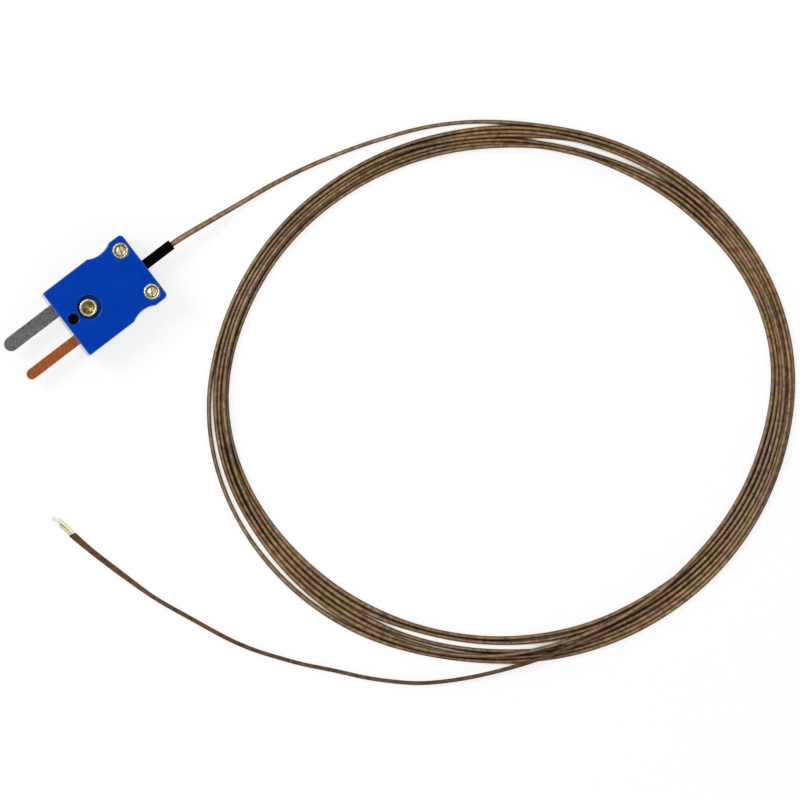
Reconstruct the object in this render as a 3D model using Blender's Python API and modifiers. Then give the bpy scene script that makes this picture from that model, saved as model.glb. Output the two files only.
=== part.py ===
"""Thermocouple probe: a miniature flat-pin plug with a thin cable, coiled, and a bare welded tip.

Metres, +Z up. The plug lies flat with its lower face at z = 0. The origin is the centre of that face,
the pins point to -X and the cable leaves to +X. The cable drops to the surface and lies in an oval coil.
"""
import math

import bmesh
import bpy
from mathutils import Matrix, Vector

MM = 0.001

# Clearances
FIT = 0.3 * MM                  # between a piece and the seat that it rests in
RUNNING = 0.15 * MM             # around turned pieces, on the radius
ROUND_STEPS = 32                # sides of a turned piece

# Plug body
BODY_LENGTH = 22.0 * MM
BODY_WIDTH = 17.0 * MM
BODY_HEIGHT = 8.0 * MM
EDGE_ROUND = 0.3 * MM
FRONT_CORNER = 0.4 * MM
REAR_CORNER = 1.0 * MM
FRONT_SLANT = 0.6 * MM          # how far each shell's front face leans back from the parting plane
WAIST_LENGTH = 5.9 * MM
WAIST_DEPTH = 0.85 * MM
WAIST_FROM_REAR = 6.35 * MM
SKIN = 1.6 * MM                 # above and below the wiring space
REAR_WALL = 1.7 * MM
SIDE_WALL = 1.45 * MM           # beside the wiring space, at the waist
FRONT_BLOCK = 10.2 * MM         # solid front that holds the pins

# Pins
PIN_PITCH = 7.9 * MM
PIN_THICKNESS = 0.8 * MM
PIN_REACH = 13.1 * MM           # past the front face
NEGATIVE_PIN_WIDTH = 3.2 * MM
POSITIVE_PIN_WIDTH = 2.4 * MM
EYE_DIAMETER = 3.2 * MM
PIN_EDGE_ROUND = 0.12 * MM

# Terminal posts and their screws, at the ears
POST_DIAMETER = 3.5 * MM
POST_RECESS = 0.15 * MM         # below the top face
POST_CHAMFER = 0.2 * MM
POST_WALL = 0.5 * MM
POST_BORE_FLOOR = 0.3 * MM
SHANK_DIAMETER = 1.6 * MM
SHANK_LENGTH = 2.5 * MM
EAR_WALL = 0.4 * MM             # plastic between a post's hole and the rear face
EAR_SIDE = 1.0 * MM             # plastic between a post's hole and the long side
GRUB_RECESS = 0.35 * MM         # below the post's rim
SLOT_WIDTH = 0.45 * MM
SLOT_DEPTH = 0.5 * MM
NEGATIVE_SLOT_ANGLE = 62.0      # degrees from +X, as the screws happen to stand
POSITIVE_SLOT_ANGLE = 55.0

# Centre bush and screw
BUSH_FROM_FRONT = 6.6 * MM
BUSH_DIAMETER = 3.9 * MM
BUSH_HEIGHT = 1.7 * MM
BUSH_RECESS = 0.4 * MM
BUSH_WALL = 0.55 * MM
BUSH_CUP_DEPTH = 0.8 * MM
BUSH_WEB = 0.25 * MM
BUSH_CHAMFER = 0.2 * MM
COUNTERBORE_DIAMETER = 5.5 * MM # wide, shallow, around the bush's rim
COUNTERBORE_DEPTH = 0.9 * MM
COUNTERBORE_SHIFT = 0.25 * MM   # towards the cable: the bush stands forward in it
CENTRE_SCREW_DIAMETER = 2.0 * MM
CENTRE_HEAD_DIAMETER = 3.9 * MM
CENTRE_HEAD_HEIGHT = 1.5 * MM
CENTRE_HEAD_RECESS = 0.4 * MM
CENTRE_HEAD_CHAMFER = 0.2 * MM

# Small hole near the front edge
FRONT_HOLE_DIAMETER = 2.5 * MM
FRONT_HOLE_FROM_FRONT = 2.55 * MM

# Cable, sleeve and ferrule
CABLE_DIAMETER = 1.0 * MM
CORE_DIAMETER = 0.42 * MM
CORE_OFFSET = 0.28 * MM         # of each core's centre from the cable's
BARE_WIRE_DIAMETER = 0.3 * MM
WIRE_CLEARANCE = 0.25 * MM      # around a bare wire in the hole of its post
SLEEVE_DIAMETER = 2.3 * MM
SLEEVE_REACH = 7.3 * MM         # past the rear face
SLEEVE_INSIDE = 3.3 * MM        # past the inner side of the rear wall
CABLE_PAST_SLEEVE = 1.0 * MM    # inside the plug
FERRULE_LENGTH = 2.0 * MM
FERRULE_WALL = 0.4 * MM
FERRULE_ROOM = 0.5 * MM         # around the ferrule
CORE_STRIP = 0.9 * MM           # from a core's end to its post
CORE_BEND = 1.0 * MM            # length of a core's last bend before its post

# Coil: an oval of turns on the surface, its long side turned away from the plug's axis
COIL_CENTRE = (55.5 * MM, -69.0 * MM)
COIL_TURN = -37.4               # degrees from +X to the oval's long axis
COIL_LONG_RADIUS = 63.7 * MM    # to the outside of the turns
COIL_SHORT_RADIUS = 58.7 * MM
COIL_BAND = 6.0 * MM            # radial width of the turns side by side
COIL_HEIGHT = 2.2 * MM
COIL_STEPS = 88

# Welded bead
BEAD_DIAMETER = 1.0 * MM

# Routes of the cable, in millimetres, as it lies; the heights are those of its centreline
LEAD_ROUTE = (
    (22.0, -0.3, 3.75),
    (25.4, -0.7, 3.1),
    (30.0, -1.25, 2.05),
    (34.7, -1.85, 1.15),
    (39.4, -2.4, 0.65),
    (44.3, -3.05, 0.5),
    (53.3, -4.85, 0.5),
    (63.9, -7.85, 0.5),
    (72.1, -10.9, 0.5),
    (74.6, -11.9, 0.5),
)
TAIL_ROUTE = (
    (20.5, -117.5, 0.5),
    (18.2, -116.5, 0.5),
    (14.2, -114.8, 0.5),
    (10.3, -112.9, 0.5),
    (6.5, -110.7, 0.5),
    (2.9, -108.3, 0.5),
    (-0.3, -105.5, 0.5),
    (-3.1, -102.8, 0.5),
    (-6.1, -99.6, 0.5),
    (-9.2, -95.8, 0.5),
    (-12.0, -92.6, 0.5),
    (-14.9, -89.3, 0.5),
    (-17.5, -85.8, 0.5),
    (-20.1, -82.3, 0.5),
    (-22.4, -78.6, 0.5),
    (-24.4, -74.8, 0.5),
    (-27.9, -66.8, 0.5),
    (-31.3, -58.8, 0.5),
    (-33.8, -50.5, 0.5),
    (-36.1, -42.1, 0.5),
    (-37.1, -37.2, 0.5),
)
# Inside the plug: x from the cable's end in millimetres, then shares of the way out and up to the post
PLUG_CORE_ROUTE = ((-1.0, 0.04, 0.25), (-1.9, 0.27, 0.88), (-1.4, 0.62, 1.0))
# Tip: each core leaves the jacket's end face, and its bare end runs on to the bead
TIP_NEGATIVE_CORE = ((-36.86, -36.86, 0.5), (-36.75, -35.2, 0.45), (-36.95, -33.3, 0.42), (-37.35, -31.9, 0.45))
TIP_NEGATIVE_WIRE = ((-37.43, -31.63, 0.45), (-37.6, -31.25, 0.45), (-37.9, -31.15, 0.45))
TIP_POSITIVE_CORE = ((-37.41, -36.75, 0.5), (-37.8, -35.4, 0.45), (-38.25, -33.9, 0.42))
TIP_POSITIVE_WIRE = ((-38.34, -33.6, 0.43), (-38.45, -32.9, 0.45), (-38.48, -32.45, 0.48))
BEAD_PLACE = (-38.5, -31.6, 0.5)

# Places worked out from the sizes
FRONT_X = -BODY_LENGTH / 2
REAR_X = BODY_LENGTH / 2
SPLIT_Z = BODY_HEIGHT / 2
PIN_BOTTOM = SPLIT_Z - PIN_THICKNESS / 2
PIN_TOP = SPLIT_Z + PIN_THICKNESS / 2
POST_HOLE_RADIUS = POST_DIAMETER / 2 + RUNNING
POST_X = REAR_X - EAR_WALL - POST_HOLE_RADIUS
POST_Y = BODY_WIDTH / 2 - EAR_SIDE - POST_HOLE_RADIUS
POST_BORE_RADIUS = POST_DIAMETER / 2 - POST_WALL
POST_BASE = PIN_TOP + FIT
POST_TOP = BODY_HEIGHT - POST_RECESS
BORE_FLOOR_Z = POST_BASE + POST_BORE_FLOOR
WIRE_Z = BORE_FLOOR_Z + RUNNING + BARE_WIRE_DIAMETER / 2
GRUB_TIP_Z = WIRE_Z + BARE_WIRE_DIAMETER / 2 + RUNNING
WIRE_HOLE_RADIUS = BARE_WIRE_DIAMETER / 2 + WIRE_CLEARANCE
SPACE_FRONT = FRONT_X + FRONT_BLOCK
SPACE_REAR = POST_X - POST_HOLE_RADIUS - 2 * FIT
SPACE_HALF_WIDTH = BODY_WIDTH / 2 - WAIST_DEPTH - SIDE_WALL
BUSH_X = FRONT_X + BUSH_FROM_FRONT
BUSH_TOP = BODY_HEIGHT - BUSH_RECESS
BUSH_BASE = BUSH_TOP - BUSH_HEIGHT
BUSH_CUP_FLOOR = BUSH_TOP - BUSH_CUP_DEPTH
SLEEVE_BORE = CABLE_DIAMETER + 2 * RUNNING
SLEEVE_END = REAR_X + SLEEVE_REACH
SLEEVE_START = REAR_X - REAR_WALL - SLEEVE_INSIDE
CABLE_START = SLEEVE_START - CABLE_PAST_SLEEVE
FERRULE_BORE = SLEEVE_DIAMETER + 2 * RUNNING
FERRULE_DIAMETER = FERRULE_BORE + 2 * FERRULE_WALL


def clear_scene():
    for old in list(bpy.data.objects):
        bpy.data.objects.remove(old, do_unlink=True)


def new_collection(name):
    collection = bpy.data.collections.new(name)
    bpy.context.scene.collection.children.link(collection)
    return collection


clear_scene()
PARTS = new_collection("thermocouple_probe")
CUTTERS = new_collection("cutters")


def material(name, colour, roughness, metallic=0.0):
    made = bpy.data.materials.new(name)
    made.use_nodes = True
    shader = made.node_tree.nodes["Principled BSDF"]
    shader.inputs["Base Color"].default_value = (*colour, 1.0)
    shader.inputs["Roughness"].default_value = roughness
    shader.inputs["Metallic"].default_value = metallic
    return made


BLUE_PLASTIC = material("blue_plastic", (0.003, 0.05, 0.39), 0.3)
BRASS = material("brass", (0.72, 0.56, 0.28), 0.28, 1.0)
CONSTANTAN = material("constantan", (0.16, 0.16, 0.15), 0.5, 1.0)
COPPER = material("copper", (0.42, 0.1, 0.03), 0.45, 1.0)
BLACK_SLEEVE = material("black_sleeve", (0.006, 0.006, 0.006), 0.6)
BROWN_JACKET = material("brown_jacket", (0.13, 0.07, 0.045), 0.35)
CREAM_INSULATION = material("cream_insulation", (0.75, 0.7, 0.5), 0.3)
GOLD_INSULATION = material("gold_insulation", (0.5, 0.36, 0.08), 0.3)


def smooth_shading(mesh):
    mesh.shade_smooth()
    mesh.set_sharp_from_angle(angle=math.radians(35))


def new_object(name, mesh, made_of=None):
    """Links a mesh as a named piece, or as a cutter if it is made of nothing."""
    piece = bpy.data.objects.new(name, mesh)
    if made_of is None:
        CUTTERS.objects.link(piece)
        piece.hide_render = True
        piece.display_type = "WIRE"
    else:
        PARTS.objects.link(piece)
        mesh.materials.append(made_of)
        smooth_shading(mesh)
    return piece


def cut(piece, *cutters):
    for cutter in cutters:
        step = piece.modifiers.new(cutter.name, "BOOLEAN")
        step.operation = "DIFFERENCE"
        step.object = cutter


def box(name, low, high):
    """A box cutter between two corners."""
    low, high = Vector(low), Vector(high)
    form = bmesh.new()
    bmesh.ops.create_cube(form, size=1.0)
    bmesh.ops.scale(form, vec=high - low, verts=form.verts)
    bmesh.ops.translate(form, vec=(low + high) / 2, verts=form.verts)
    mesh = bpy.data.meshes.new(name)
    form.to_mesh(mesh)
    form.free()
    return new_object(name, mesh)


def drill(name, radius, start, end):
    """A round cutter between two points on its axis."""
    start, end = Vector(start), Vector(end)
    form = bmesh.new()
    bmesh.ops.create_cone(form, cap_ends=True, segments=ROUND_STEPS, radius1=radius, radius2=radius,
                          depth=(end - start).length)
    turn = (end - start).to_track_quat("Z", "Y").to_matrix().to_4x4()
    bmesh.ops.transform(form, matrix=Matrix.Translation((start + end) / 2) @ turn, verts=form.verts)
    mesh = bpy.data.meshes.new(name)
    form.to_mesh(mesh)
    form.free()
    return new_object(name, mesh)


def turned(name, profile, place, made_of, axis="Z", steps=ROUND_STEPS):
    """A turned solid. The profile runs down its outer side: (radius, height) from top to bottom."""
    mesh = bpy.data.meshes.new(name)
    points = [(radius, 0.0, height) for radius, height in profile]
    closed = profile[0][0] > 0 and profile[-1][0] > 0
    edges = [(i, i + 1) for i in range(len(points) - 1)]
    if closed:
        edges.append((len(points) - 1, 0))
    mesh.from_pydata(points, edges, [])
    piece = new_object(name, mesh, made_of)
    piece.location = place
    if axis == "X":
        piece.rotation_euler = (0.0, math.radians(90), 0.0)
    spin = piece.modifiers.new("spin", "SCREW")
    spin.steps = steps
    spin.render_steps = steps
    spin.use_merge_vertices = True
    spin.merge_threshold = 0.00001
    spin.use_smooth_shade = True
    return piece


def flat_mesh(name, outline, low, high):
    """The mesh of a flat outline, filled and given its thickness from low to high."""
    curve = bpy.data.curves.new(name, "CURVE")
    curve.dimensions = "2D"
    curve.fill_mode = "BOTH"
    curve.extrude = (high - low) / 2
    spline = curve.splines.new("POLY")
    spline.points.add(len(outline) - 1)
    for point, (x, y) in zip(spline.points, outline):
        point.co = (x, y, 0.0, 1.0)
    spline.use_cyclic_u = True
    drawn = bpy.data.objects.new(name + "_outline", curve)
    CUTTERS.objects.link(drawn)
    drawn.location.z = (low + high) / 2
    bpy.context.view_layer.update()
    shape = drawn.evaluated_get(bpy.context.evaluated_depsgraph_get())
    mesh = bpy.data.meshes.new_from_object(shape)
    mesh.transform(drawn.matrix_world)
    bpy.data.objects.remove(drawn, do_unlink=True)
    form = bmesh.new()
    form.from_mesh(mesh)
    bmesh.ops.remove_doubles(form, verts=form.verts, dist=0.000001)
    bmesh.ops.dissolve_limit(form, angle_limit=math.radians(0.5), verts=form.verts, edges=form.edges)
    form.to_mesh(mesh)
    form.free()
    mesh.name = name
    return mesh


def round_edges(piece, width, segments):
    rounding = piece.modifiers.new("rounding", "BEVEL")
    rounding.width = width
    rounding.segments = segments
    rounding.limit_method = "ANGLE"
    rounding.angle_limit = math.radians(40)
    return rounding


def round_face_edges(piece, height, width, segments):
    """Rounds only the edges around the flat face at a height."""
    mesh = piece.data
    weights = mesh.attributes.new("bevel_weight_edge", "FLOAT", "EDGE")
    for edge, weight in zip(mesh.edges, weights.data):
        ends = [mesh.vertices[i].co.z for i in edge.vertices]
        weight.value = float(all(abs(z - height) < RUNNING for z in ends))
    round_edges(piece, width, segments).limit_method = "WEIGHT"


def arc(centre_x, centre_y, radius, start, end, count):
    """Points on an arc, angles in degrees, both ends included."""
    angles = [math.radians(start + (end - start) * i / count) for i in range(count + 1)]
    return [(centre_x + radius * math.cos(a), centre_y + radius * math.sin(a)) for a in angles]


def waist_side(side):
    """The shallow scallop in one long side, from rear to front for side 1 and back for side -1."""
    half_chord = WAIST_LENGTH / 2
    radius = (half_chord ** 2 + WAIST_DEPTH ** 2) / (2 * WAIST_DEPTH)
    sweep = math.degrees(math.asin(half_chord / radius))
    centre_x = REAR_X - WAIST_FROM_REAR
    centre_y = BODY_WIDTH / 2 - WAIST_DEPTH + radius
    points = arc(centre_x, centre_y, radius, 270 + sweep, 270 - sweep, 8)
    if side > 0:
        return points
    return [(x, -y) for x, y in reversed(points)]


def body_outline():
    """The plug seen from above, anticlockwise from the front of its right side."""
    half = BODY_WIDTH / 2
    front, rear = FRONT_CORNER, REAR_CORNER
    outline = arc(FRONT_X + front, -half + front, front, 180, 270, 3)
    outline += waist_side(-1)
    outline += arc(REAR_X - rear, -half + rear, rear, 270, 360, 5)
    outline += arc(REAR_X - rear, half - rear, rear, 0, 90, 5)
    outline += waist_side(1)
    outline += arc(FRONT_X + front, half - front, front, 90, 180, 3)
    return outline


def pin_outline(side, width, grow=0.0):
    """A pin from its round tip to the eye under its post, grown on all sides by the clearance of a seat."""
    half = width / 2 + grow
    eye = EYE_DIAMETER / 2 + grow
    pin_y = PIN_PITCH / 2
    tip_x = FRONT_X - PIN_REACH + width / 2
    jog_x = SPACE_FRONT + width / 2
    outline = arc(tip_x, pin_y, half, 90, 270, 10)
    outline.append((jog_x, pin_y - half))
    outline += arc(POST_X, POST_Y, eye, -90, 90, 12)
    outline.append((jog_x, pin_y + half))
    if side > 0:
        return outline
    return [(x, -y) for x, y in reversed(outline)]


def shell(name, low, high, outer):
    """Half of the body, whose front face leans back towards its outer face."""
    mesh = flat_mesh(name, body_outline(), low, high)
    for vertex in mesh.vertices:
        at_front = vertex.co.x < FRONT_X + FRONT_CORNER + RUNNING
        if at_front and abs(vertex.co.z - outer) < RUNNING:
            vertex.co.x += FRONT_SLANT
    piece = new_object(name, mesh, BLUE_PLASTIC)
    round_face_edges(piece, outer, EDGE_ROUND, 3)
    return piece


def pin_seats():
    """The pockets that both shells share around the two pins."""
    seats = []
    for name, side, width in (("negative_seat", 1, NEGATIVE_PIN_WIDTH), ("positive_seat", -1, POSITIVE_PIN_WIDTH)):
        outline = pin_outline(side, width, FIT)
        seats.append(new_object(name, flat_mesh(name, outline, PIN_BOTTOM - FIT, PIN_TOP + FIT)))
    return seats


def wiring_space():
    """The hollow for the wires, and the narrower one behind it for the ferrule."""
    ferrule_half = FERRULE_DIAMETER / 2 + FERRULE_ROOM
    wide = box("wire_space", (SPACE_FRONT, -SPACE_HALF_WIDTH, SKIN),
               (SPACE_REAR, SPACE_HALF_WIDTH, BODY_HEIGHT - SKIN))
    narrow = box("ferrule_space", (SPACE_REAR - FIT, -ferrule_half, SPLIT_Z - ferrule_half),
                 (REAR_X - REAR_WALL, ferrule_half, SPLIT_Z + ferrule_half))
    return [wide, narrow]


def make_shells():
    lower = shell("lower_shell", 0.0, SPLIT_Z - FIT / 2, 0.0)
    upper = shell("upper_shell", SPLIT_Z + FIT / 2, BODY_HEIGHT, BODY_HEIGHT)
    below, above = -BODY_HEIGHT, 2 * BODY_HEIGHT
    shared = pin_seats() + wiring_space()
    shared.append(drill("sleeve_hole", SLEEVE_DIAMETER / 2 + RUNNING, (REAR_X - REAR_WALL - FIT, 0, SPLIT_Z),
                        (REAR_X + BODY_HEIGHT, 0, SPLIT_Z)))
    front_hole_x = FRONT_X + FRONT_HOLE_FROM_FRONT
    shared.append(drill("front_hole", FRONT_HOLE_DIAMETER / 2, (front_hole_x, 0, below), (front_hole_x, 0, above)))
    shared.append(drill("centre_hole", CENTRE_SCREW_DIAMETER / 2 + FIT, (BUSH_X, 0, below), (BUSH_X, 0, above)))
    cut(lower, *shared)
    cut(upper, *shared)
    head_seat_z = CENTRE_HEAD_RECESS + CENTRE_HEAD_HEIGHT + FIT
    cut(lower, drill("head_counterbore", CENTRE_HEAD_DIAMETER / 2 + FIT, (BUSH_X, 0, below),
                     (BUSH_X, 0, head_seat_z)))
    cut(upper, drill("bush_seat", BUSH_DIAMETER / 2 + RUNNING, (BUSH_X, 0, BUSH_BASE - FIT), (BUSH_X, 0, above)))
    counterbore_x = BUSH_X + COUNTERBORE_SHIFT
    cut(upper, drill("bush_counterbore", COUNTERBORE_DIAMETER / 2, (counterbore_x, 0, BODY_HEIGHT - COUNTERBORE_DEPTH),
                     (counterbore_x, 0, above)))
    for side, name in ((1, "negative"), (-1, "positive")):
        y = side * POST_Y
        cut(upper, drill(name + "_post_hole", POST_HOLE_RADIUS, (POST_X, y, SPLIT_Z), (POST_X, y, above)))
        cut(upper, box(name + "_wire_slot",
                       (SPACE_REAR - FIT, y - WIRE_HOLE_RADIUS, SPLIT_Z),
                       (POST_X, y + WIRE_HOLE_RADIUS, WIRE_Z + WIRE_HOLE_RADIUS)))
        shank_end = POST_BASE - SHANK_LENGTH
        cut(lower, drill(name + "_shank_hole", SHANK_DIAMETER / 2 + FIT, (POST_X, y, shank_end - FIT),
                         (POST_X, y, SPLIT_Z)))


def make_pin(name, side, width, made_of):
    piece = new_object(name, flat_mesh(name, pin_outline(side, width), PIN_BOTTOM, PIN_TOP), made_of)
    round_edges(piece, PIN_EDGE_ROUND, 1)
    y = side * POST_Y
    cut(piece, drill(name + "_eye", SHANK_DIAMETER / 2 + FIT, (POST_X, y, 0), (POST_X, y, BODY_HEIGHT)))


def make_post(name, side):
    """A brass post: a shank through the pin's eye, and a barrel with a bore for the grub screw."""
    barrel = POST_DIAMETER / 2
    shank = SHANK_DIAMETER / 2
    y = side * POST_Y
    piece = turned(name, [
        (0.0, BORE_FLOOR_Z),
        (POST_BORE_RADIUS, BORE_FLOOR_Z),
        (POST_BORE_RADIUS, POST_TOP),
        (barrel - POST_CHAMFER, POST_TOP),
        (barrel, POST_TOP - POST_CHAMFER),
        (barrel, POST_BASE),
        (shank, POST_BASE),
        (shank, POST_BASE - SHANK_LENGTH),
        (0.0, POST_BASE - SHANK_LENGTH),
    ], (POST_X, y, 0), BRASS)
    cut(piece, drill(name + "_wire_hole", WIRE_HOLE_RADIUS, (POST_X - POST_DIAMETER, y, WIRE_Z),
                     (POST_X - RUNNING, y, WIRE_Z)))


def make_grub_screw(name, side, slot_angle):
    radius = POST_BORE_RADIUS - RUNNING
    top = POST_TOP - GRUB_RECESS
    y = side * POST_Y
    piece = turned(name, [
        (0.0, top),
        (radius, top),
        (radius, GRUB_TIP_Z + POST_CHAMFER),
        (radius - POST_CHAMFER, GRUB_TIP_Z),
        (0.0, GRUB_TIP_Z),
    ], (POST_X, y, 0), BRASS)
    slot = box(name + "_slot", (-POST_DIAMETER, -SLOT_WIDTH / 2, top - SLOT_DEPTH),
               (POST_DIAMETER, SLOT_WIDTH / 2, BODY_HEIGHT))
    slot.location = (POST_X, y, 0)
    slot.rotation_euler.z = math.radians(slot_angle)
    cut(piece, slot)


def make_centre_bush():
    outer = BUSH_DIAMETER / 2
    cup = outer - BUSH_WALL
    thread = CENTRE_SCREW_DIAMETER / 2 + RUNNING
    turned("centre_bush", [
        (0.0, BUSH_CUP_FLOOR),
        (cup, BUSH_CUP_FLOOR),
        (cup, BUSH_TOP),
        (outer - BUSH_CHAMFER, BUSH_TOP),
        (outer, BUSH_TOP - BUSH_CHAMFER),
        (outer, BUSH_BASE),
        (thread, BUSH_BASE),
        (thread, BUSH_CUP_FLOOR - BUSH_WEB),
        (0.0, BUSH_CUP_FLOOR - BUSH_WEB),
    ], (BUSH_X, 0, 0), BRASS)


def make_centre_screw():
    shank = CENTRE_SCREW_DIAMETER / 2
    head = CENTRE_HEAD_DIAMETER / 2
    tip = BUSH_CUP_FLOOR - BUSH_WEB - FIT
    head_top = CENTRE_HEAD_RECESS + CENTRE_HEAD_HEIGHT
    piece = turned("centre_screw", [
        (0.0, tip),
        (shank, tip),
        (shank, head_top),
        (head, head_top),
        (head, CENTRE_HEAD_RECESS + CENTRE_HEAD_CHAMFER),
        (head - CENTRE_HEAD_CHAMFER, CENTRE_HEAD_RECESS),
        (0.0, CENTRE_HEAD_RECESS),
    ], (BUSH_X, 0, 0), BRASS)
    slot = box("centre_screw_slot", (-CENTRE_HEAD_DIAMETER, -SLOT_WIDTH / 2, 0),
               (CENTRE_HEAD_DIAMETER, SLOT_WIDTH / 2, CENTRE_HEAD_RECESS + SLOT_DEPTH))
    slot.location = (BUSH_X, 0, 0)
    cut(piece, slot)


def ring(name, inner, outer, start_x, length, made_of):
    """A plain tube around the cable's axis, from start_x towards +X."""
    turned(name, [
        (inner, length),
        (outer, length),
        (outer, 0.0),
        (inner, 0.0),
    ], (start_x, 0, SPLIT_Z), made_of, axis="X")


def make_sleeve_and_ferrule():
    ring("cable_sleeve", SLEEVE_BORE / 2, SLEEVE_DIAMETER / 2, SLEEVE_START, SLEEVE_END - SLEEVE_START, BLACK_SLEEVE)
    ferrule_start = REAR_X - REAR_WALL - FIT - FERRULE_LENGTH
    ring("crimp_ferrule", FERRULE_BORE / 2, FERRULE_DIAMETER / 2, ferrule_start, FERRULE_LENGTH, BRASS)


def blend_point(before, start, end, after, share):
    """A point on the smooth curve through start and end, which passes its neighbours on the way."""
    return 0.5 * (
        2 * start
        + (end - before) * share
        + (2 * before - 5 * start + 4 * end - after) * share ** 2
        + (3 * start - before - 3 * end + after) * share ** 3
    )


def smooth_route(points, spacing):
    """Points about a spacing apart on one smooth curve through the route's own points."""
    route = [Vector(point) for point in points]
    route = [2 * route[0] - route[1]] + route + [2 * route[-1] - route[-2]]
    smooth = []
    for i in range(1, len(route) - 2):
        count = max(1, round((route[i + 1] - route[i]).length / spacing))
        smooth += [blend_point(*route[i - 1:i + 3], step / count) for step in range(count)]
    smooth.append(route[-2])
    return smooth


def tube(name, points, diameter, made_of, spacing):
    """A round cord along a route, no lower than the surface that it lies on."""
    curve = bpy.data.curves.new(name, "CURVE")
    curve.dimensions = "3D"
    curve.bevel_depth = diameter / 2
    curve.bevel_resolution = 2
    curve.use_fill_caps = True
    spline = curve.splines.new("POLY")
    route = smooth_route(points, spacing)
    spline.points.add(len(route) - 1)
    for point, place in zip(spline.points, route):
        point.co = (place.x, place.y, max(place.z, diameter / 2), 1.0)
    curve.materials.append(made_of)
    piece = bpy.data.objects.new(name, curve)
    PARTS.objects.link(piece)


def in_metres(points):
    return [Vector(point) * MM for point in points]


def make_cable():
    """The lead from inside the plug to the coil, and the tail from the coil to the bare tip."""
    inside = [Vector((CABLE_START, 0, SPLIT_Z)), Vector((SLEEVE_START, 0, SPLIT_Z)), Vector((SLEEVE_END, 0, SPLIT_Z))]
    tube("cable_lead", inside + in_metres(LEAD_ROUTE), CABLE_DIAMETER, BROWN_JACKET, 3 * CABLE_DIAMETER)
    tube("cable_tail", in_metres(TAIL_ROUTE), CABLE_DIAMETER, BROWN_JACKET, 3 * CABLE_DIAMETER)


def make_coil():
    """The turns of the coil as one oval ring of their outer shape, resting on the surface."""
    half_height = COIL_HEIGHT / 2
    outer_side = arc(COIL_LONG_RADIUS - half_height, half_height, half_height, 90, -90, 6)
    inner_side = arc(COIL_LONG_RADIUS - COIL_BAND + half_height, half_height, half_height, 270, 90, 6)
    piece = turned("cable_coil", outer_side + inner_side, (0, 0, 0), BROWN_JACKET, steps=COIL_STEPS)
    bpy.context.view_layer.update()
    shape = piece.evaluated_get(bpy.context.evaluated_depsgraph_get())
    mesh = bpy.data.meshes.new_from_object(shape)
    narrow = COIL_SHORT_RADIUS / COIL_LONG_RADIUS
    mesh.transform(Matrix.Diagonal((1.0, narrow, 1.0, 1.0)))
    mesh.transform(Matrix.Rotation(math.radians(COIL_TURN), 4, "Z"))
    mesh.transform(Matrix.Translation((*COIL_CENTRE, 0.0)))
    piece.modifiers.clear()
    piece.data = mesh
    smooth_shading(mesh)


def make_plug_wiring(name, side, made_of, metal):
    """One core from the cable's end over its pin to the post, and its bare end in the post."""
    post_y = side * POST_Y
    core_end = POST_X - POST_HOLE_RADIUS - CORE_STRIP
    start = CABLE_START - FIT
    route = [(start, side * CORE_OFFSET, SPLIT_Z)]
    for step, outward, upward in PLUG_CORE_ROUTE:
        y = side * CORE_OFFSET + outward * (post_y - side * CORE_OFFSET)
        route.append((start + step * MM, y, SPLIT_Z + upward * (WIRE_Z - SPLIT_Z)))
    route.append((core_end - CORE_BEND, post_y - side * CORE_BEND / 2, WIRE_Z))
    route.append((core_end, post_y, WIRE_Z))
    tube(name + "_core", route, CORE_DIAMETER, made_of, CORE_DIAMETER * 2)
    bare = [(core_end + FIT, post_y, WIRE_Z), (POST_X, post_y, WIRE_Z)]
    tube(name + "_wire", bare, BARE_WIRE_DIAMETER, metal, CABLE_DIAMETER)


def make_tip():
    spacing = 2 * CORE_DIAMETER
    tube("tip_negative_core", in_metres(TIP_NEGATIVE_CORE), CORE_DIAMETER, CREAM_INSULATION, spacing)
    tube("tip_positive_core", in_metres(TIP_POSITIVE_CORE), CORE_DIAMETER, GOLD_INSULATION, spacing)
    tube("tip_negative_wire", in_metres(TIP_NEGATIVE_WIRE), BARE_WIRE_DIAMETER, CONSTANTAN, BARE_WIRE_DIAMETER)
    tube("tip_positive_wire", in_metres(TIP_POSITIVE_WIRE), BARE_WIRE_DIAMETER, COPPER, BARE_WIRE_DIAMETER)
    form = bmesh.new()
    bmesh.ops.create_uvsphere(form, u_segments=16, v_segments=10, radius=BEAD_DIAMETER / 2)
    bmesh.ops.translate(form, vec=Vector(BEAD_PLACE) * MM, verts=form.verts)
    mesh = bpy.data.meshes.new("junction_bead")
    form.to_mesh(mesh)
    form.free()
    new_object("junction_bead", mesh, CONSTANTAN)


make_shells()
make_pin("negative_pin", 1, NEGATIVE_PIN_WIDTH, CONSTANTAN)
make_pin("positive_pin", -1, POSITIVE_PIN_WIDTH, COPPER)
make_post("negative_post", 1)
make_post("positive_post", -1)
make_grub_screw("negative_grub_screw", 1, NEGATIVE_SLOT_ANGLE)
make_grub_screw("positive_grub_screw", -1, POSITIVE_SLOT_ANGLE)
make_centre_bush()
make_centre_screw()
make_sleeve_and_ferrule()
make_plug_wiring("plug_negative", 1, CREAM_INSULATION, CONSTANTAN)
make_plug_wiring("plug_positive", -1, GOLD_INSULATION, COPPER)
make_cable()
make_coil()
make_tip()
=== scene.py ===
"""Looks of the thermocouple probe: its plug, the coiled cable and the bare tip, seen from straight above.

Lengths here are in millimetres until they become Blender objects, which are in metres.
"""

import math

import bmesh
import bpy
import numpy as np
from mathutils import Matrix, Vector


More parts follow.
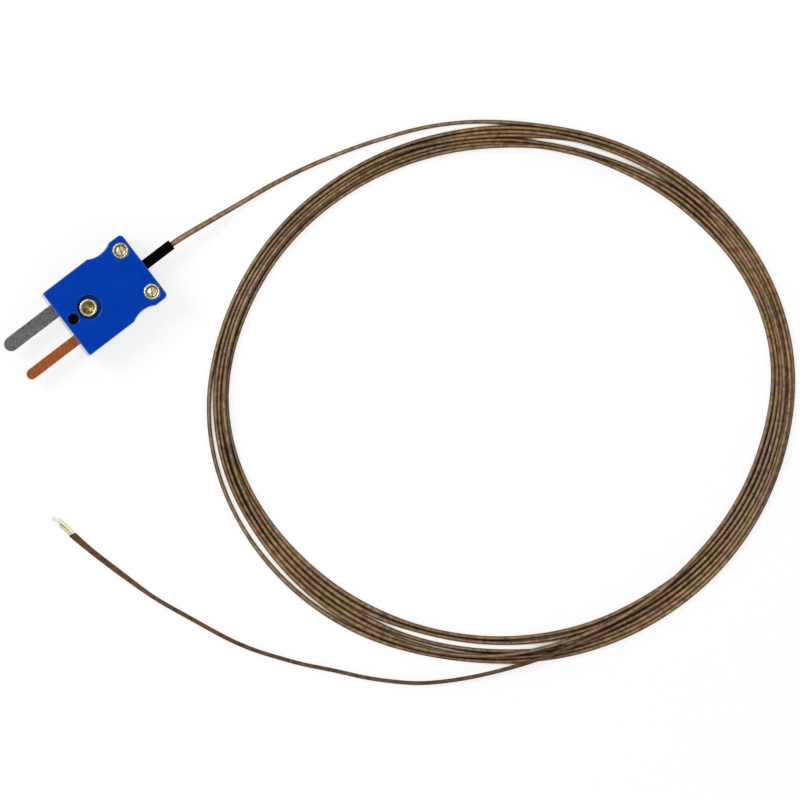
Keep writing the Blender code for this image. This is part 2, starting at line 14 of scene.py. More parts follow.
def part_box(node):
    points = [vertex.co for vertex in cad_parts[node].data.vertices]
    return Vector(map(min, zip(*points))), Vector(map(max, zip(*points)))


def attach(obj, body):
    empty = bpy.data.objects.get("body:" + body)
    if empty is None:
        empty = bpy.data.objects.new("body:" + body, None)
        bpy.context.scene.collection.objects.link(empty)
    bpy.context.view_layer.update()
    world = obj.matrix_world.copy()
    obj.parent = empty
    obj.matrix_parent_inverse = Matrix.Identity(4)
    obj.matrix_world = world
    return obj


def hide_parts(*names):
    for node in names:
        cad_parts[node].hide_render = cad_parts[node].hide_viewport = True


MM = 0.001

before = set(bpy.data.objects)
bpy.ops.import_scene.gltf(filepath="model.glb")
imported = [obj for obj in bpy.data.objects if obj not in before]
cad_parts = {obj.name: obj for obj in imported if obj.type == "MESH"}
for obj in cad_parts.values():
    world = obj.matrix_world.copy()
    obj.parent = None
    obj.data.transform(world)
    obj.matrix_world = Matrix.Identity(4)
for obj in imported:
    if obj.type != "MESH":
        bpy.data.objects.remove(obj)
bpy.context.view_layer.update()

# Plug, read from the frame
REAR_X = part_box("upper_shell")[1].x / MM
SLEEVE_LOW, SLEEVE_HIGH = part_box("cable_sleeve")
SPLIT_Z = (SLEEVE_LOW.z + SLEEVE_HIGH.z) / 2 / MM
SLEEVE_START = SLEEVE_LOW.x / MM
SLEEVE_END = SLEEVE_HIGH.x / MM

# Cable
CABLE_PAST_SLEEVE = 1.0
CABLE_SPACING = 0.8
CABLE_SIDES = 16
# The two cores side by side make the cable slightly flat. It stands on its narrow side in the coil and lies
# on its wide side at both ends: its width seen from above by the distance from each end
STRAND_WIDTH = 0.82
STRAND_HEIGHT = 1.0
FLAT_HEIGHT = 0.86
WIDTH_FROM_SLEEVE = (
    (0, 1.26), (6, 1.25), (10, 1.20), (14, 1.16), (18, 1.11), (24, 1.09), (30, 1.03), (45, 0.93),
    (60, 0.88), (100, 0.84),
)
WIDTH_FROM_TIP = (
    (0, 1.54), (2.5, 1.45), (4.5, 1.33), (9, 1.28), (13, 1.27), (17, 1.11), (22, 0.95), (39, 0.95),
    (50, 0.91), (80, 0.90), (105, 0.92), (170, 0.82),
)
# In the coil it turns its wide side up in places: its width by the angle clockwise from the photograph's top
COIL_WIDTHS = (
    (0, 0.9), (12, 0.86), (25, 0.86), (38, 0.95), (150, 0.95), (172, 0.88), (200, 0.88), (209, 1.06),
    (232, 1.06), (244, 0.88), (252, 0.9), (285, 0.9), (300, 0.86), (330, 0.86), (345, 0.9), (360, 0.9),
)
TWIST_PITCH = 17.0
DARK_FROM_TIP = 110.0
JACKET_WALL = 0.1
JACKET_HOLLOW = 0.5
JACKET_OVERHANG = 0.3
CUT_SLANT = -0.34

# Tip: the two cores past the jacket, their bare ends and the bead, as in the CAD model
TIP_ROUTES = {
    "negative": (
        ((-36.77, -36.9, 0.4), (-36.97, -35.2, 0.4), (-37.32, -33.7, 0.4), (-37.66, -32.4, 0.4)),
        ((-37.74, -32.1, 0.41), (-37.88, -31.75, 0.43), (-38.1, -31.6, 0.45)),
    ),
    "positive": (
        ((-37.39, -36.75, 0.4), (-37.7, -35.3, 0.4), (-38.06, -34.0, 0.4)),
        ((-38.15, -33.7, 0.41), (-38.35, -32.9, 0.43), (-38.45, -32.3, 0.45)),
    ),
}
CORE_RADIUS = {"negative": 0.37, "positive": 0.37}
CORE_MOUTH_RADIUS = 0.29
WIRE_RADIUS = 0.11
BEAD_PLACE = (-38.5, -31.6, 0.5)
BEAD_RADIUS = 0.5
BEAD_DENT = 0.06

# Turned brass pieces
SMALL_CHAMFER = 0.1
KNURL_TEETH = 36
KNURL_DEPTH = 0.07
KNURL_START = 0.75
KNURL_FULL = 0.6
POST_SHANK_RADIUS = 0.8
POST_SHANK_LENGTH = 2.5
POST_RIM_ROUND = 0.16
POST_LIP = 0.22
POST_LIP_GAP = 0.012
POST_LIP_DEPTH = 1.2
GRUB_GAP = 0.18
GRUB_DOME = 0.3
GRUB_THREADS = 4
GRUB_THREAD_DEPTH = 0.09
SLOT_WIDTH = 0.34
SLOT_DEPTH = 0.6
SLOT_ANGLES = {"negative": 78.0, "positive": 64.0}
BUSH_CUP_RADIUS = 1.4
BUSH_CUP_DEPTH = 0.8
BUSH_CHAMFER = 0.2
BUSH_THREADS = 3
BUSH_THREAD_DEPTH = 0.08
BUSH_CUP_RINGS = 5

# The photograph's view: its centre on the surface, its width there, and how far it is turned
VIEW_CENTRE = (37.18, -56.98)
VIEW_WIDTH = 173.9
VIEW_TURN = -37.4
CAMERA_HEIGHT = 4000.0
SENSOR_WIDTH = 36.0

# The plug's plastic gets painted shade, darker where it is closed in within this distance
PAINTED_GROOVE_SHADE_REACH = 1.4

# Light, in Blender's own units
WORLD_STRENGTH = 0.84
WORLD_GREYS = ((0.0, 0.75), (0.35, 0.9), (0.5, 1.05), (0.84, 1.05), (0.94, 0.06))
KEY_POWER = 8.5
KEY_DIRECTION = (-0.95, 0.45, 1.0)
KEY_DISTANCE = 1.3
KEY_SIZE = 0.5
FLOOR_WHITE = 0.8
FLOOR_GREY = (0.82, 0.82, 0.82, 1.0)
CONTACT_REACH = 4.0
FLOOR_HALF = 3.0
# The floor's colour by how open it lies, as painted shade and light: black down narrow gaps, brownish painted
# bounce light between strands, white elsewhere
FLOOR_SHADE_BY_OPENNESS = (
    (0.22, (0.004, 0.004, 0.006)),
    (0.31, (0.13, 0.09, 0.055)),
    (0.40, (0.92, 0.87, 0.76)),
    (0.48, (1.0, 1.0, 1.0)),
)

# Coil: centre and outer half axes of its oval, turned as the photograph is
COIL_CENTRE = (55.5, -69.0)
COIL_LONG = 63.7
COIL_SHORT = 58.7
STEPS_PER_TURN = 720
FULL_TURNS = 6

# The cable's way from the sleeve to the coil and from the coil to the tip, as in the CAD model
LEAD_ROUTE = (
    (22.0, -0.3, 3.75),
    (25.4, -0.7, 3.1),
    (30.0, -1.25, 2.05),
    (34.7, -1.85, 1.15),
    (39.4, -2.4, 0.65),
    (44.3, -3.05, 0.5),
    (53.3, -4.85, 0.5),
    (63.9, -7.85, 0.5),
    (72.1, -10.9, 0.5),
    (74.6, -11.9, 0.5),
)
TAIL_ROUTE = (
    (20.5, -117.5, 0.5),
    (18.2, -116.5, 0.5),
    (14.2, -114.8, 0.5),
    (10.3, -112.9, 0.5),
    (6.5, -110.7, 0.5),
    (2.9, -108.3, 0.5),
    (-0.3, -105.5, 0.5),
    (-3.1, -102.8, 0.5),
    (-6.1, -99.6, 0.5),
    (-9.2, -95.8, 0.5),
    (-12.0, -92.6, 0.5),
    (-14.9, -89.3, 0.5),
    (-17.5, -85.8, 0.5),
    (-20.1, -82.3, 0.5),
    (-22.4, -78.6, 0.5),
    (-24.4, -74.8, 0.5),
    (-27.9, -66.8, 0.5),
    (-31.3, -58.8, 0.5),
    (-33.8, -50.5, 0.5),
    (-36.1, -42.1, 0.5),
    (-37.1, -37.2, 0.5),
)

# Where the cable's centre runs between the end of the lead's route and the coil's first turn
LEAD_DEPTHS = ((-15, -0.93), (-10, -0.7), (-5, -0.41))

# How deep each turn lies inside the coil's outer oval, by the angle clockwise from the photograph's top.
# Columns are turns 1 to 7 in the order in which the cable runs; the seventh is half a turn.
TURN_DEPTHS = (
    (0, -0.15, 0.98, 1.98, 3.91, 4.46, 5.04, 2.85),
    (10, 0.28, 1.00, 1.85, 4.12, 4.40, 4.55, 2.25),
    (14, 0.05, 0.85, 1.80, 4.20, 4.35, 4.42, 1.95),
    (20, -0.26, 0.65, 1.67, 4.13, 4.52, 4.57, 1.41),
    (30, -0.39, 0.54, 1.63, 3.76, 4.13, 4.78, 0.65),
    (40, -0.57, 0.48, 1.45, 2.38, 3.50, 4.66, 0.95),
    (50, -0.65, 0.39, 1.25, 2.35, 3.45, 4.60, 1.50),
    (60, -0.65, 0.37, 1.09, 2.39, 3.10, 4.07, 1.59),
    (70, -0.50, 0.43, 1.02, 2.22, 2.83, 3.57, 1.61),
    (85, -0.17, 0.70, 1.24, 2.39, 3.06, 4.02, 1.74),
    (100, 0.72, 1.30, 1.80, 3.52, 4.62, 5.70, 2.48),
    (115, 0.85, 1.37, 2.11, 4.05, 5.15, 6.20, 3.04),
    (130, 0.52, 1.35, 2.30, 4.35, 5.35, 6.18, 3.30),
    (135, 0.46, 1.35, 2.25, 4.42, 5.60, 5.78, 3.34),
    (140, 0.41, 1.30, 2.15, 4.40, 5.85, 5.20, 3.30),
    (150, 0.28, 1.07, 1.96, 4.13, 5.65, 4.50, 3.20),
    (160, 0.24, 0.83, 1.80, 4.55, 5.35, 3.57, 2.62),
    (165, 0.22, 0.76, 1.80, 4.20, 5.38, 3.15, 1.95),
    (170, 0.24, 0.98, 2.15, 4.15, 5.38, 2.65, 0.72),
    (173, 0.24, 1.09, 2.35, 4.22, 5.38, 2.25, 0.16),
    (180, 0.22, 1.09, 2.57, 4.28, 5.33, 1.35),
    (190, 0.28, 1.20, 2.61, 4.39, 5.33, 1.15),
    (200, -0.17, 1.30, 2.65, 4.54, 5.39, 0.78),
    (208, -0.61, 1.58, 2.70, 4.04, 5.30, 0.52),
    (220, -0.87, 1.80, 2.95, 4.12, 5.28, 0.67),
    (230, -0.83, 1.98, 3.08, 4.20, 5.24, 0.93),
    (240, -0.78, 2.02, 3.04, 4.20, 4.91, 1.35),
    (250, -0.65, 1.87, 3.15, 3.70, 4.43, 1.11),
    (260, -0.33, 2.09, 3.37, 2.93, 4.11, 1.24),
    (270, 0.28, 2.74, 3.52, 2.93, 4.00, 1.78),
    (280, 1.35, 3.11, 3.83, 3.98, 4.78, 2.28),
    (290, 1.80, 3.48, 4.20, 4.63, 5.28, 2.65),
    (300, 1.91, 3.59, 4.30, 4.78, 5.39, 2.78),
    (320, 1.98, 3.76, 4.41, 4.91, 5.59, 2.96),
    (340, 1.59, 2.75, 3.98, 4.48, 5.43, 2.50),
    (350, 1.39, 2.35, 3.70, 4.41, 5.17, 2.95),
)

# Which turns lie under or over their neighbours: turn, first angle, last angle and layer.
# Layer 0 lies lowest, 1 is usual, and higher layers lie on what is below them.
TURN_LAYERS = (
    (1, 15, 45, 1),
    (2, 8, 50, 2),
    (2, 50, 100, 1),
    (2, 100, 150, 2),
    (3, 8, 50, 2),
    (3, 50, 105, 0),
    (3, 240, 325, 2),
    (4, 50, 100, 0),
    (4, 240, 285, 0),
    (4, 330, 360, 2),
    (5, 0, 35, 2),
    (5, 50, 97, 2),
    (5, 100, 130, 0),
    (6, 0, 30, 3),
    (6, 105, 135, 2),
    (6, 135, 210, 3),
    (6, 325, 360, 3),
    (7, 0, 6, 2),
    (7, 8, 50, 0),
    (7, 50, 100, 2),
    (7, 150, 172, 3),
    (7, 172, 185, 4),
)
# The laying runs a little past the coil at both ends, and these angles bound it
LAY_FROM = -24.0
LAY_TO = FULL_TURNS * 360 + 196.0
LEAD_JOINS = -18.5
TAIL_JOINS = FULL_TURNS * 360 + 178.0
DEPTH_SMOOTHING = 7
HEIGHT_SMOOTHING = 8
LINE_SMOOTHING = 2

# How the strands settle. The last rounds only push them apart
LAY_ROUNDS = 500
LAST_ROUNDS_FROM = 0.8
LAY_PULL = 0.12
LAST_PULL = 0.02
LAY_WEIGHT = 0.01
LAY_PUSH = 0.4
ROOM_REPEATS = 3
HELD_POINTS = 6
STACK_STEP = 0.9
# Stiffness: how many points away the neighbours are, and how far each point goes towards their mean
STIFF_ACROSS = ((1, 0.25), (4, 0.08))
STIFF_UP = ((1, 0.25), (4, 0.15), (8, 0.08))


# Routes: smooth curves through the points above


def blend_point(before, start, end, after, share):
    """A point on the smooth curve from start to end, its neighbours on the route given too."""
    return 0.5 * (
        2 * start
        + (end - before) * share
        + (2 * before - 5 * start + 4 * end - after) * share ** 2
        + (3 * start - before - 3 * end + after) * share ** 3
    )


def smooth_route(points, spacing):
    """Points about a spacing apart on one smooth curve through the route's own points."""
    route = [Vector(point) for point in points]
    route = [2 * route[0] - route[1]] + route + [2 * route[-1] - route[-2]]
    smooth = []
    for i in range(1, len(route) - 2):
        count = max(1, round((route[i + 1] - route[i]).length / spacing))
        smooth += [blend_point(*route[i - 1:i + 3], step / count) for step in range(count)]
    smooth.append(route[-2])
    return smooth


def smoothed(values, reach):
    """A running bell-shaped mean along a line of values, its ends left where they are."""
    steps = np.arange(-3 * reach, 3 * reach + 1)
    bell = np.exp(-0.5 * (steps / reach) ** 2)
    bell /= bell.sum()
    padded = np.pad(values, 3 * reach, mode="reflect", reflect_type="odd")
    return np.convolve(padded, bell, mode="valid")


# Coil: its turns are given by angle and depth, and they settle on the surface and on each other


def oval_edge(angle):
    """Radius of the coil's outer oval at an angle clockwise from the photograph's top, in radians."""
    return COIL_LONG * COIL_SHORT / np.hypot(COIL_SHORT * np.sin(angle), COIL_LONG * np.cos(angle))


def angle_and_depth(point):
    """A point on the surface as its angle in degrees and its depth inside the oval."""
    turn = math.radians(VIEW_TURN)
    dx, dy = point[0] - COIL_CENTRE[0], point[1] - COIL_CENTRE[1]
    right = dx * math.cos(turn) + dy * math.sin(turn)
    top = dy * math.cos(turn) - dx * math.sin(turn)
    angle = math.atan2(right, top)
    return math.degrees(angle), oval_edge(angle) - math.hypot(right, top)


def laid_depths(angles, lead, tail):
    """The depth at each angle of the whole laying, from the lead's route to the tail's."""
    known = []
    for point in lead:
        angle, depth = angle_and_depth(point)
        if LAY_FROM - 30 < angle < LEAD_JOINS:
            known.append((angle, depth))
    known += LEAD_DEPTHS
    for row in TURN_DEPTHS:
        known += [(row[0] + 360 * turn, depth) for turn, depth in enumerate(row[1:])]
    for point in tail:
        angle, depth = angle_and_depth(point)
        angle = angle % 360 + 360 * FULL_TURNS
        if TAIL_JOINS < angle < LAY_TO + 30:
            known.append((angle, depth))
    known.sort()
    return smoothed(np.interp(angles, *zip(*known)), DEPTH_SMOOTHING)


def stacked_heights(angles, depths):
    """First heights: at each angle the strands are dropped one after another, the lowest layer first.

    Depths and heights are in widths and heights of a strand here, and in settle.
    """
    layers = 1 + 0.01 * np.floor(angles / 360)
    for turn, start, end, layer in TURN_LAYERS:
        before = 360 * (turn - 1)
        layers[(angles >= start + before) & (angles <= end + before)] += layer - 1
    heights = np.full(len(angles), 0.5)
    for first in range(STEPS_PER_TURN):
        strands = np.arange(first, len(angles), STEPS_PER_TURN)
        order = strands[np.argsort(layers[strands], kind="stable")]
        for count, strand in enumerate(order):
            for below in order[:count]:
                gap = abs(depths[strand] - depths[below])
                if gap < 1:
                    step = STACK_STEP * math.sqrt(1 - gap ** 2)
                    heights[strand] = max(heights[strand], heights[below] + step)
    return smoothed(heights, HEIGHT_SMOOTHING)


def settle(across, up):
    """Relaxes the strands: stiffness, the pull to their places, weight, and the room that each one takes."""
    goal = across.copy()
    kept_start, kept_end = across[:HELD_POINTS].copy(), across[-HELD_POINTS:].copy()
    index = np.arange(len(across))
    pairs = [(index[:-apart], index[apart:]) for apart in range(STEPS_PER_TURN, len(across), STEPS_PER_TURN)]
    for step in range(LAY_ROUNDS):
        last = step > LAST_ROUNDS_FROM * LAY_ROUNDS
        across += (LAST_PULL if last else LAY_PULL) * (goal - across)
        up -= 0 if last else LAY_WEIGHT
        for values, stiffness in ((across, STIFF_ACROSS), (up, STIFF_UP)):
            for reach, share in stiffness:
                mean = 0.5 * (values[:-2 * reach] + values[2 * reach:])
                values[reach:-reach] += share * (mean - values[reach:-reach])
        for _ in range(ROOM_REPEATS):
            for one, two in pairs:
                gap_across = across[two] - across[one]
                gap_up = up[two] - up[one]
                far = np.hypot(gap_across, gap_up) + 1e-9
                push = LAY_PUSH * np.clip(1 - far, 0, None) / far
                across[two] += push * gap_across
                across[one] -= push * gap_across
                up[two] += push * gap_up
                up[one] -= push * gap_up
            np.clip(up, 0.5, None, out=up)
        across[:HELD_POINTS], across[-HELD_POINTS:] = kept_start, kept_end


def coil_points(lead, tail):
    """The settled turns as points, clockwise from the top of the photograph."""
    angles = np.arange(LAY_FROM, LAY_TO, 360 / STEPS_PER_TURN)
    across = laid_depths(angles, lead, tail) / STRAND_WIDTH
    up = stacked_heights(angles, across)
    settle(across, up)
    up *= STRAND_HEIGHT
    angle = np.radians(angles)
    radius = oval_edge(angle) - across * STRAND_WIDTH
    right, top = radius * np.sin(angle), radius * np.cos(angle)
    turn = math.radians(VIEW_TURN)
    x = COIL_CENTRE[0] + right * math.cos(turn) - top * math.sin(turn)
    y = COIL_CENTRE[1] + right * math.sin(turn) + top * math.cos(turn)
    return np.stack([x, y, up], axis=1)


# Cable: one line from inside the plug through the coil to the end of the jacket


def cable_line():
    """Evenly spaced points of the cable's centreline."""
    inside = [(x, 0, SPLIT_Z) for x in (SLEEVE_START - CABLE_PAST_SLEEVE, SLEEVE_START, SLEEVE_END)]
    lead = smooth_route(inside + list(LEAD_ROUTE), 1.0)
    tail = smooth_route(TAIL_ROUTE, 1.0)
    before = [point for point in lead if point.x < REAR_X + 1 or angle_and_depth(point)[0] < LAY_FROM - 0.3]
    after = [point for point in tail if angle_and_depth(point)[0] % 360 > LAY_TO % 360 + 0.3]
    after.append(after[-1] + (after[-1] - after[-2]).normalized() * JACKET_OVERHANG)
    line = np.concatenate([[tuple(p) for p in before], coil_points(lead, tail), [tuple(p) for p in after]])
    gaps = np.linalg.norm(np.diff(line, axis=0), axis=1)
    along = np.concatenate([[0], np.cumsum(gaps)])
    even = np.linspace(0, along[-1], int(along[-1] / CABLE_SPACING))
    line = np.stack([smoothed(np.interp(even, along, line[:, k]), LINE_SMOOTHING) for k in range(3)], axis=1)
    line[:, 2] = np.clip(line[:, 2], STRAND_HEIGHT / 2, None)
    return line


def section_along(line, along):
    """Half widths and half heights of the cable at the points of its line."""
    from_sleeve = along - (SLEEVE_END - SLEEVE_START + CABLE_PAST_SLEEVE)
    from_tip = along[-1] - along
    angles = [angle_and_depth(point)[0] % 360 for point in line]
    in_coil = np.clip((from_sleeve - 60) / 60, 0, 1) * np.clip((from_tip - 110) / 60, 0, 1)
    width = STRAND_WIDTH + in_coil * (np.interp(angles, *zip(*COIL_WIDTHS)) - STRAND_WIDTH)
    width = np.maximum(width, np.interp(from_sleeve, *zip(*WIDTH_FROM_SLEEVE)))
    width = np.maximum(width, np.interp(from_tip, *zip(*WIDTH_FROM_TIP)))
    flat = np.clip((width - STRAND_WIDTH) / (WIDTH_FROM_SLEEVE[0][1] - STRAND_WIDTH), 0, 1)
    return width / 2, (STRAND_HEIGHT + (FLAT_HEIGHT - STRAND_HEIGHT) * flat) / 2


# Meshes


def tube_rings(line, half_width, half_height, angle):
    """Rings of points round a line: a row of rings, each with one point per angle, and the way ahead."""
    ahead = np.gradient(line, axis=0)
    ahead /= np.linalg.norm(ahead, axis=1)[:, None]
    side = np.cross(ahead, (0, 0, 1))
    side /= np.linalg.norm(side, axis=1)[:, None]
    top = np.cross(side, ahead)
    rings = (line[:, None, :]
             + side[:, None, :] * (half_width[:, None] * np.cos(angle))[..., None]
             + top[:, None, :] * (half_height[:, None] * np.sin(angle))[..., None])
    return rings, ahead


def tube_faces(rings, sides):
    """Side faces between the rings of a tube and a flat face at each end."""
    faces = []
    for ring in range(rings - 1):
        low, high = ring * sides, (ring + 1) * sides
        for step in range(sides):
            after = (step + 1) % sides
            faces.append((low + step, high + step, high + after, low + after))
    faces.append(tuple(range(sides))[::-1])
    faces.append(tuple((rings - 1) * sides + step for step in range(sides)))
    return faces


def mesh_piece(name, vertices, faces, sharp_above=40.0):
    """A smooth-shaded object in metres from vertices in millimetres, riding on the probe."""
    mesh = bpy.data.meshes.new(name)
    mesh.from_pydata([tuple(v) for v in np.asarray(vertices, float) * MM], [], faces)
    mesh.validate()
    form = bmesh.new()
    form.from_mesh(mesh)
    bmesh.ops.recalc_face_normals(form, faces=form.faces)
    form.to_mesh(mesh)
    form.free()
    mesh.shade_smooth()
    mesh.set_sharp_from_angle(angle=math.radians(sharp_above))
    piece = bpy.data.objects.new(name, mesh)
    bpy.context.scene.collection.objects.link(piece)
    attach(piece, "root")
    return piece


def turned_piece(name, profile, centre, steps=72, tooth=None):
    """A turned piece about a vertical axis. The profile runs from radius 0 to radius 0 as (radius, z).

    tooth(number of the profile point, number of the step) changes the radius there.
    """
    rings = profile[1:-1]
    vertices = []
    for number, (radius, z) in enumerate(rings):
        for step in range(steps):
            angle = 2 * math.pi * step / steps
            r = radius + (tooth(number, step) if tooth else 0)
            vertices.append((centre[0] + r * math.cos(angle), centre[1] + r * math.sin(angle), z))
    first, last = len(vertices), len(vertices) + 1
    vertices += [(centre[0], centre[1], profile[0][1]), (centre[0], centre[1], profile[-1][1])]
    faces = []
    for step in range(steps):
        after = (step + 1) % steps
        faces.append((first, step, after))
        for ring in range(len(rings) - 1):
            low, high = ring * steps, (ring + 1) * steps
            faces.append((low + step, high + step, high + after, low + after))
        top = (len(rings) - 1) * steps
        faces.append((last, top + after, top + step))
    return mesh_piece(name, vertices, faces)


def mark(piece, name, values):
    """Stores a number for each vertex of a piece, which its material reads."""
    attribute = piece.data.attributes.new(name, "FLOAT", "POINT")
    attribute.data.foreach_set("value", np.asarray(values, np.float32))


def soften_edges(piece, width, segments=2):
    bevel = piece.modifiers.new("edges", "BEVEL")
    bevel.width = width * MM
    bevel.segments = segments
    bevel.limit_method = "ANGLE"
    bevel.angle_limit = math.radians(40)


def cut_box(piece, centre, size, turned_by):
    """Cuts a box out of a piece and keeps the result as the piece's own mesh."""
    form = bmesh.new()
    bmesh.ops.create_cube(form, size=1.0)
    mesh = bpy.data.meshes.new("cutter")
    form.to_mesh(mesh)
    form.free()
    cutter = bpy.data.objects.new("cutter", mesh)
    place = Matrix.Translation(Vector(centre) * MM) @ Matrix.Rotation(math.radians(turned_by), 4, "Z")
    cutter.matrix_world = place @ Matrix.Diagonal((*[s * MM for s in size], 1.0))
    bpy.context.scene.collection.objects.link(cutter)
    boolean = piece.modifiers.new("slot", "BOOLEAN")
    boolean.operation = "DIFFERENCE"
    boolean.object = cutter
    bpy.context.view_layer.update()
    whole = piece.evaluated_get(bpy.context.evaluated_depsgraph_get())
    made = bpy.data.meshes.new_from_object(whole)
    piece.modifiers.clear()
    piece.data = made
    made.shade_smooth()
    made.set_sharp_from_angle(angle=math.radians(40))
    bpy.data.objects.remove(cutter)


def box_mm(node):
    low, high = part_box(node)
    return low / MM, high / MM


# Materials


class Nodes:
    """Adds nodes to the tree of one material or world."""

    def __init__(self, owner):
        owner.use_nodes = True
        self.tree = owner.node_tree

    def add(self, kind, inputs=(), **settings):
        """A new node; its inputs are given by name or number, as values or as outputs to link."""
        node = self.tree.nodes.new(kind)
        for setting, value in settings.items():
            setattr(node, setting, value)
        for socket, value in dict(inputs).items():
            if isinstance(value, bpy.types.NodeSocket):
                self.tree.links.new(value, node.inputs[socket])
            else:
                node.inputs[socket].default_value = value
        return node

    def ramp(self, value, *stops):
        """Maps a value to greys or colours; each stop is a position and a grey or a colour."""
        node = self.add("ShaderNodeValToRGB", {0: value})
        elements = node.color_ramp.elements
        while len(elements) < len(stops):
            elements.new(0.5)
        for element, (position, colour) in zip(elements, stops):
            element.position = position
            element.color = (*colour, 1.0) if isinstance(colour, tuple) else (colour, colour, colour, 1.0)
        return node.outputs[0]

    def math(self, operation, one, two=0.0):
        return self.add("ShaderNodeMath", {0: one, 1: two}, operation=operation).outputs[0]

    def openness(self, reach):
        """1 where nothing is near, and less where a place is closed in within a reach in millimetres."""
        node = self.add("ShaderNodeAmbientOcclusion", {"Distance": reach * MM}, samples=16)
        return node.outputs["AO"]


class Surface(Nodes):
    """One material: its Principled shader and the nodes that feed it, with places in millimetres."""

    def __init__(self, name, colour, roughness, metallic=0.0, **sockets):
        self.material = bpy.data.materials.new(name)
        super().__init__(self.material)
        self.shader = self.tree.nodes["Principled BSDF"]
        self.shader.inputs["Base Color"].default_value = (*colour, 1.0)
        self.shader.inputs["Roughness"].default_value = roughness
        self.shader.inputs["Metallic"].default_value = metallic
        for socket, value in sockets.items():
            self.shader.inputs[socket.replace("_", " ")].default_value = value
        coordinates = self.add("ShaderNodeTexCoord")
        self.place = self.scaled(coordinates.outputs["Object"], (1 / MM, 1 / MM, 1 / MM))

    def feed(self, socket, value):
        self.tree.links.new(value, self.shader.inputs[socket])

    def scaled(self, vector, by):
        return self.add("ShaderNodeVectorMath", {0: vector, 1: by}, operation="MULTIPLY").outputs[0]

    def turned(self, vector, degrees):
        """The same place in axes turned about the vertical."""
        return self.add("ShaderNodeVectorRotate", {"Vector": vector, "Angle": math.radians(degrees)},
                        rotation_type="Z_AXIS").outputs[0]

    def noise(self, scale, detail=3.0, roughness=0.55, place=None, distortion=0.0):
        inputs = {"Vector": place or self.place, "Scale": scale, "Detail": detail,
                  "Roughness": roughness, "Distortion": distortion}
        return self.add("ShaderNodeTexNoise", inputs).outputs[0]

    def mix(self, share, one, two, blend="MIX"):
        node = self.add("ShaderNodeMix", data_type="RGBA", blend_type=blend)
        sockets = {0: share, 6: one, 7: two}
        for index, value in sockets.items():
            if isinstance(value, bpy.types.NodeSocket):
                self.tree.links.new(value, node.inputs[index])
            else:
                node.inputs[index].default_value = (*value, 1.0) if isinstance(value, tuple) else value
        return node.outputs[2]

    def bump(self, height, depth, normal=None):
        """A bump of a depth in millimetres from a height of 0 to 1."""
        node = self.add("ShaderNodeBump", {"Height": height, "Distance": depth * MM})
        if normal:
            self.tree.links.new(normal, node.inputs["Normal"])
        return node.outputs[0]

    def rounded(self, radius):
        """Normals that run softly round the sharp edges of a piece."""
        return self.add("ShaderNodeBevel", {"Radius": radius * MM}, samples=6).outputs[0]

    def edges(self, radius):
        """1 near the sharp edges of a piece and 0 on its faces."""
        normals = {0: self.rounded(radius), 1: self.add("ShaderNodeNewGeometry").outputs["Normal"]}
        likeness = self.add("ShaderNodeVectorMath", normals, operation="DOT_PRODUCT").outputs["Value"]
        return self.ramp(likeness, (0.80, 1.0), (0.99, 0.0))

    def upward(self):
        """How far the surface faces up, from 0 at its sides to 1 on top."""
        normal = self.add("ShaderNodeNewGeometry").outputs["Normal"]
        return self.add("ShaderNodeSeparateXYZ", {0: normal}).outputs[2]


def blue_plastic():
    made = Surface("blue_plastic", (0.0, 0.04, 0.36), 0.2, Specular_IOR_Level=0.5,
                   Specular_Tint=(0.6, 0.95, 1.0, 1.0))
    cloud = made.ramp(made.noise(0.16, 2.0), (0.35, (0.0, 0.040, 0.375)), (0.7, (0.0, 0.047, 0.42)))
    grain = made.ramp(made.noise(5.0, 4.0), (0.3, 0.9), (0.7, 1.06))
    body = made.mix(1.0, cloud, grain, "MULTIPLY")
    # Painted shade: the blue is darkened in grooves, holes and the counterbore, where it is closed in
    body = made.mix(1.0, body, made.ramp(made.openness(PAINTED_GROOVE_SHADE_REACH), (0.3, 0.1), (0.8, 1.0)), "MULTIPLY")
    # Painted highlight: a lighter cyan blue along the sharp edges, broken up by noise
    painted_edge_highlight = made.math("MULTIPLY", made.edges(0.3), made.ramp(made.noise(1.3, 3.0), (0.38, 0.3), (0.62, 0.9)))
    made.feed("Base Color", made.mix(painted_edge_highlight, body, (0.0, 0.16, 0.46)))
    rub = made.noise(0.7, 5.0, 0.7)
    made.feed("Roughness", made.ramp(rub, (0.35, 0.12), (0.65, 0.24)))
    scratch_place = made.scaled(made.turned(made.place, 31.0), (0.12, 3.2, 1.0))
    scratch = made.ramp(made.noise(1.0, 5.0, 0.8, scratch_place), (0.62, 1.0), (0.72, 0.0))
    made.feed("Coat Weight", made.ramp(made.upward(), (0.3, 1.0), (0.85, 0.0)))
    skin = made.bump(made.noise(2.4, 3.0), 0.012, made.rounded(0.2))
    made.feed("Normal", made.bump(scratch, 0.003, skin))
    return made.material


